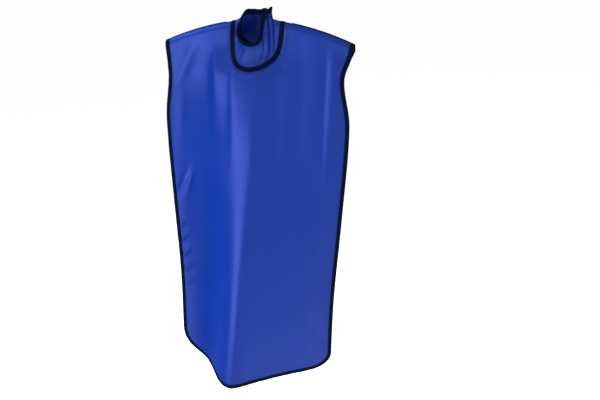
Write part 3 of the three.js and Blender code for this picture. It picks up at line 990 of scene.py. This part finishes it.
# %% Laying tape
def lay_tape(name, surface, stops, section, replaced=()):
    """A tape whose section is carried along the stops, each point lifted off the cloth by its normal."""
    mesh = bmesh.new()
    cut = mesh.loops.layers.uv.new("cut")
    across, along = len(section) - 1, len(stops) - 1
    bmesh.ops.create_grid(mesh, x_segments=across, y_segments=along, size=0.5)
    flat = {}
    for vert in mesh.verts:
        i, j = round((vert.co.x + 0.5) * across), round((vert.co.y + 0.5) * along)
        (place, inward), (reach, off) = stops[j], section[i]
        vert.co = lifted(surface, *(place + inward * reach), off) * MM
        flat[vert] = Vector((i * TAPE.point, j * TAPE.stop))
    map_flat(mesh, cut, flat)
    piece = add_piece(name, mesh, BLACK_TAPE)
    add_wall(piece, TAPE.thick, 0)
    if replaced:
        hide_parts(replaced)
    return piece


print("tape is laid as a grid: its section one way, its stops the other")

# %% [markdown]
# ## Tapes of the panel and the flaps
# The panel's tape runs down its left side, round the hem and up its right side. A short tape binds each
# flap. Their edges are read from the same cuts as the cloth, so tape and cloth can't drift apart.

# %% Panel and flap tapes
EDGE_SAMPLES = 400


def edge_of(place):
    """Flat places down the first column of a cut, along its end and up its last column."""
    steps = [i / EDGE_SAMPLES for i in range(EDGE_SAMPLES + 1)]
    down = [Vector(place(0, v)) for v in steps]
    along = [Vector(place(u, 1)) for u in steps[1:]]
    up = [Vector(place(1, v)) for v in reversed(steps[:-1])]
    return down + along + up


panel_stops = even_stops(edge_of(panel_place), TAPE.stop)
panel_tape = lay_tape("panel_tape", panel_cloth, panel_stops, PANEL_SECTION, "edge_binding")
flap_stops, flap_tapes = {}, {}
for hand, side in HANDS.items():
    edge = edge_of(lambda u, v: flap_place(u, v, side))
    flap_stops[side] = even_stops(edge if side < 0 else edge[::-1], TAPE.stop)
    flap_tapes[side] = lay_tape(
        f"flap_tape_{hand}", flap_cloth, flap_stops[side], PANEL_SECTION, f"flap_binding_{hand}"
    )
print("panel tape:", round(len(panel_stops) * TAPE.stop * MM, 2), "m")

# %% [markdown]
# ## Shoulder tapes
# A narrow tape lies flat along the top of each shoulder, where it covers the fold. It goes round no
# edge, so it has a low section of its own: thick in the middle, with a groove beside each selvedge
# where it is sewn down.

# %% Shoulder tapes
RIDGE_TAPE = SimpleNamespace(front=5.0, inner=90, outer=246, stop=6)
RIDGE_SECTION = table_of(
    "reach rise",
    (0.0, 0.5), (0.8, 0.85), (2.0, 0.7), (4.0, 0.95), (9.0, 0.95), (11.0, 0.7), (12.2, 0.85), (13.0, 0.5),
)
for hand, side in HANDS.items():
    line = range(RIDGE_TAPE.inner, RIDGE_TAPE.outer + 1, RIDGE_TAPE.stop)
    stops = [(Vector((side * x, RIDGE_TAPE.front)), Vector((0, -1))) for x in line]
    section = [(row["reach"], PANEL_WALL / 2 + row["rise"]) for row in RIDGE_SECTION]
    lay_tape(f"shoulder_tape_{hand}", hang, stops, section)
print("shoulder tapes:", RIDGE_TAPE.outer - RIDGE_TAPE.inner, "mm each")

# %% [markdown]
# ## Tapes of the collar
# One tape goes up one end of the collar, round its top and down the other end. A second one binds the
# lower edge, where the collar meets the neckline in front and hangs free behind.

# %% Collar tapes
END_CLEAR = 13.0
END_STEPS = 20
COLLAR_STOP = SimpleNamespace(top=3.5, base=2.6)


def collar_end(a):
    low = collar_height(a) - END_CLEAR
    return [Vector((a, lerp(low, COLLAR.end_corner, i / END_STEPS))) for i in range(END_STEPS)]


def collar_top_edge():
    middle = [Vector(collar_top(i / EDGE_SAMPLES)) for i in range(EDGE_SAMPLES + 1)]
    return collar_end(0) + middle + collar_end(COLLAR_LENGTH)[::-1]


top_stops = even_stops(collar_top_edge()[::-1], COLLAR_STOP.top)
top_tape = lay_tape("collar_top_tape", collar_sheet, top_stops, COLLAR_SECTION, "collar_top_binding")
base_count = round(COLLAR_LENGTH / COLLAR_STOP.base)
base_line = [COLLAR_LENGTH * i / base_count for i in range(base_count + 1)]
base_stops = [(Vector((a, collar_height(a))), Vector((0, -1))) for a in base_line]
base_tape = lay_tape("collar_base_tape", collar_sheet, base_stops, COLLAR_SECTION, "collar_base_binding")
print("collar tapes:", len(top_stops), "and", len(base_stops), "stops")

# %% [markdown]
# ## Stitching
# A row of lock stitches holds each tape on both faces. Bump alone would vanish at the tape's outline,
# so every stitch is a small lozenge of thread of a few faces, half sunk in the groove of the stitch
# line.

# %% One stitch
STITCH = SimpleNamespace(pitch=4.2, length=3.2, width=0.8, height=0.6, sides=6, rings=4, reach=8.6,
                         lift=1.12, above=1.5)


def one_stitch():
    mesh = bmesh.new()
    bmesh.ops.create_uvsphere(mesh, u_segments=STITCH.sides, v_segments=STITCH.rings, radius=MM / 2)
    size = Vector((STITCH.length, STITCH.width, STITCH.height))
    bmesh.ops.scale(mesh, verts=mesh.verts, vec=size)
    return mesh_data("stitch", mesh)


print("stitch:", STITCH.length, "mm long, one every", STITCH.pitch, "mm")

# %% A row of stitches
def sew(mesh, surface, stops, off):
    """A row of stitches along the stops, on the face that off names."""
    flat = [place + inward * STITCH.reach for place, inward in stops]
    line = [lifted(surface, *place, off) for place in flat]
    above = [lifted(surface, *place, off * STITCH.above) for place in flat]
    lengths = running_lengths(line)
    stitch = one_stitch()
    at, k, count = 0.0, 0, 0
    while at + STITCH.pitch < lengths[-1]:
        middle = at + STITCH.pitch / 2
        while lengths[k + 1] < middle:
            k += 1
        share = (middle - lengths[k]) / (lengths[k + 1] - lengths[k])
        along = (line[k + 1] - line[k]).normalized()
        up = above[k] - line[k]
        up = (up - along * up.dot(along)).normalized()
        axes = Matrix((along, up.cross(along), up)).transposed().to_4x4()
        where = Matrix.Translation(line[k].lerp(line[k + 1], share) * MM) @ axes
        stitch.transform(where)
        mesh.from_mesh(stitch)
        stitch.transform(where.inverted())
        at += STITCH.pitch
        count += 1
    bpy.data.meshes.remove(stitch)
    return count


print("rows of stitches run", STITCH.reach, "mm in from the edge")

# %% Stitching on every tape
def add_stitches(name, rows):
    mesh = bmesh.new()
    count = 0
    for surface, stops, wall in rows:
        for face in (1, -1):
            count += sew(mesh, surface, stops, face * (wall / 2 + STITCH.lift))
    for face in mesh.faces:
        face.smooth = True
    piece = add_piece(name, mesh, BLACK_THREAD)
    print(name + ":", count, "stitches")
    return piece


panel_thread = add_stitches("panel_stitches", [(panel_cloth, panel_stops, PANEL_WALL)])
flap_threads = {
    side: add_stitches(f"flap_stitches_{hand}", [(flap_cloth, flap_stops[side], PANEL_WALL)])
    for hand, side in HANDS.items()
}
collar_thread = add_stitches(
    "collar_stitches",
    [(collar_sheet, top_stops, COLLAR_WALL), (collar_sheet, base_stops, COLLAR_WALL)],
)

# %% [markdown]
# ## The collar's fastener
# A patch of hook-and-loop tape holds the lapped ends together. It is hidden between them, so one small
# pad stands for both of its layers: a grid on the space between the ends, thickened to fill it.

# %% Touch fastener
PATCH = SimpleNamespace(length=18, height=20, gap=0.5, above_tape=19, cells=12)


def patch_place(u, v):
    low = collar_height(COLLAR.lap / 2) - PATCH.above_tape
    return COLLAR.lap / 2 + PATCH.length * (u - 0.5), lerp(low - PATCH.height, low, v)


def between_ends(a, b):
    return lifted(collar_curve, a, b, COLLAR.lap_step / 2)


patch_mesh = lay_cloth(PATCH.cells, PATCH.cells, patch_place, between_ends)
patch = add_piece("closure_patch", patch_mesh, FASTENER)
add_wall(patch, COLLAR.lap_step - COLLAR_WALL - 2 * PATCH.gap, RIM_ROUND)
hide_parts("collar_closure")
print("fastener:", PATCH.length, "by", PATCH.height, "mm")

# %% [markdown]
# ## What was cut
# The cloth in the sheets is added up. The widths follow the folds, so the panel's cut is wider than the
# apron hangs.

# %% Cloth in all sheets
for side in HANDS.values():
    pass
print("declared:", round(panel_area + 2 * flap_area + collar_area, 3), "m2 of cloth in all")

# %% [markdown]
# ## Floor
# The apron hangs free, so the floor lies well below the hem: a large pale plane that glows a little and
# reads as white. It could also throw light back up, but the surround does that more evenly, so the
# floor is hidden from bounced and mirrored rays.

# %% Floor
FLOOR = SimpleNamespace(level=-LENGTH * MM - 0.42, half=60.0, grain=3.0, rough=0.9, glow=0.75)
FLOOR_TONES = ((0.90, 0.90, 0.90, 1), (0.93, 0.93, 0.93, 1))


def floor_finish():
    material, shade = new_finish("pale_floor")
    where = shade.node("TexCoord", {}, {}, "Object")
    grain = shade.noise(where, FLOOR.grain, 2.0)
    close_finish(shade, {
        "Base Color": shade.blend(grain, *FLOOR_TONES),
        "Roughness": FLOOR.rough,
        "Emission Color": (1, 1, 1, 1),
        "Emission Strength": FLOOR.glow,
    })
    return material


def add_floor():
    mesh = bmesh.new()
    bmesh.ops.create_grid(mesh, x_segments=2, y_segments=2, size=FLOOR.half)
    bmesh.ops.translate(mesh, verts=mesh.verts, vec=(0, 0, FLOOR.level))
    data = mesh_data("floor", mesh)
    data.materials.append(floor_finish())
    floor = add_object("floor", data)
    floor.visible_diffuse = False
    floor.visible_glossy = False


add_floor()
print("floor at", round(FLOOR.level, 2), "m")

# %% [markdown]
# ## Light
# Satin cloth shows what it mirrors as much as what lights it. A side window on the left, a little
# behind the apron, colours the left flank of the fold; it is hidden from mirrored rays, so the flank
# stays a clean blue. A front window low on the left puts the pale streak on the fold, and a small
# skylight lifts the shoulders. The surround stands for the room: dark on the left and behind, brighter
# on the right and towards the floor.

# %% Windows
LIGHTS = table_of(
    "name from at size watts mirrored",
    ("side_window", (-1.5, 0.45, 0.45), (0.0, 0.0, -0.7), (1.2, 1.2), 78, False),
    ("front_window", (-1.05, -2.05, -0.85), (0.0, 0.0, -0.55), (1.2, 1.8), 22, True),
    ("skylight", (-1.2, -0.6, 1.3), (-0.1, 0.0, -0.1), (0.9, 0.9), 7, True),
)


def add_light(row):
    data = bpy.data.lights.new(row["name"], "AREA")
    data.shape = "RECTANGLE"
    data.size, data.size_y = row["size"]
    data.energy = row["watts"]
    light = add_object(row["name"], data)
    light.location = row["from"]
    aim = Vector(row["at"]) - Vector(row["from"])
    light.rotation_euler = aim.to_track_quat("-Z", "Y").to_euler()
    light.visible_glossy = row["mirrored"]


for row in LIGHTS:
    add_light(row)
print("lights:", [row["name"] for row in LIGHTS])

# %% Surround
SURROUND = SimpleNamespace(dark=0.03, front=0.27, right=0.3, floor=0.8, behind=0.75)
SURROUND_EDGES = SimpleNamespace(front=(-0.95, -0.4), right=(0.0, 0.5), below=(-0.35, -0.75),
                                 behind=(-0.1, 0.4))


def add_surround():
    """White where the camera sees it; as light, dark on the left and brighter on the right and below."""
    world = bpy.data.worlds.new("surround")
    sky = empty_network(world)
    way = sky.node("TexCoord", {}, {}, "Generated")
    split = sky.node("SeparateXYZ", {}, {0: way})
    front = sky.ramp(split.out("X"), *SURROUND_EDGES.front)
    right = sky.ramp(split.out("X"), *SURROUND_EDGES.right)
    below = sky.ramp(split.out("Z"), *SURROUND_EDGES.below)
    behind = SURROUND.behind * sky.ramp(split.out("Y"), *SURROUND_EDGES.behind)
    bright = SURROUND.front + SURROUND.right * right + SURROUND.floor * below
    glow = SURROUND.dark + front * bright * (1 - behind)
    seen = sky.node("LightPath", {}, {}, "Is Camera Ray")
    lit = sky.node("Background", {}, {"Color": (1, 1, 1, 1), "Strength": seen + (1 - seen) * glow})
    sky.node("OutputWorld", {}, {"Surface": lit})
    bpy.context.scene.world = world


add_surround()
bpy.context.scene.view_settings.view_transform = "Standard"
print("surround:", SURROUND.dark, "on the left,", SURROUND.front + SURROUND.right, "on the right")

# %% [markdown]
# ## Camera
# The camera stands a little to the right and looks down at the apron, with the turn, pitch and distance
# that bring its outline onto the photograph's. A shift keeps the apron left of the picture's middle,
# where turning the camera would change the perspective.

# %% Camera
CAMERA = SimpleNamespace(azimuth=9.0, pitch=22.4, roll=0.6, distance=1.490, height=0.095, focal=525.0)
PHOTO = SimpleNamespace(width=600, axis_x=257.0)
SENSOR = 36.0


def add_camera():
    turn, down, roll = (math.radians(v) for v in (CAMERA.azimuth, CAMERA.pitch, CAMERA.roll))
    ahead = Vector((-math.sin(turn) * math.cos(down), math.cos(turn) * math.cos(down), -math.sin(down)))
    right = ahead.cross(Vector((0, 0, 1))).normalized()
    up = right.cross(ahead)
    rolled_right = right * math.cos(roll) + up * math.sin(roll)
    rolled_up = up * math.cos(roll) - right * math.sin(roll)
    data = bpy.data.cameras.new("camera")
    data.sensor_width = SENSOR
    data.lens = CAMERA.focal / PHOTO.width * SENSOR
    data.shift_x = 0.5 - PHOTO.axis_x / PHOTO.width
    camera = add_object("camera", data)
    camera.matrix_world = Matrix((rolled_right, rolled_up, -ahead)).transposed().to_4x4()
    camera.location = (CAMERA.distance * math.sin(turn), -CAMERA.distance * math.cos(turn), CAMERA.height)
    bpy.context.scene.camera = camera
    return camera


camera = add_camera()
print("camera:", round(camera.data.lens, 1), "mm lens, shift", round(camera.data.shift_x, 3))

# %% [markdown]
# ## The size of the result
# The cloth may stand a little proud of the solids, but the apron keeps its size.
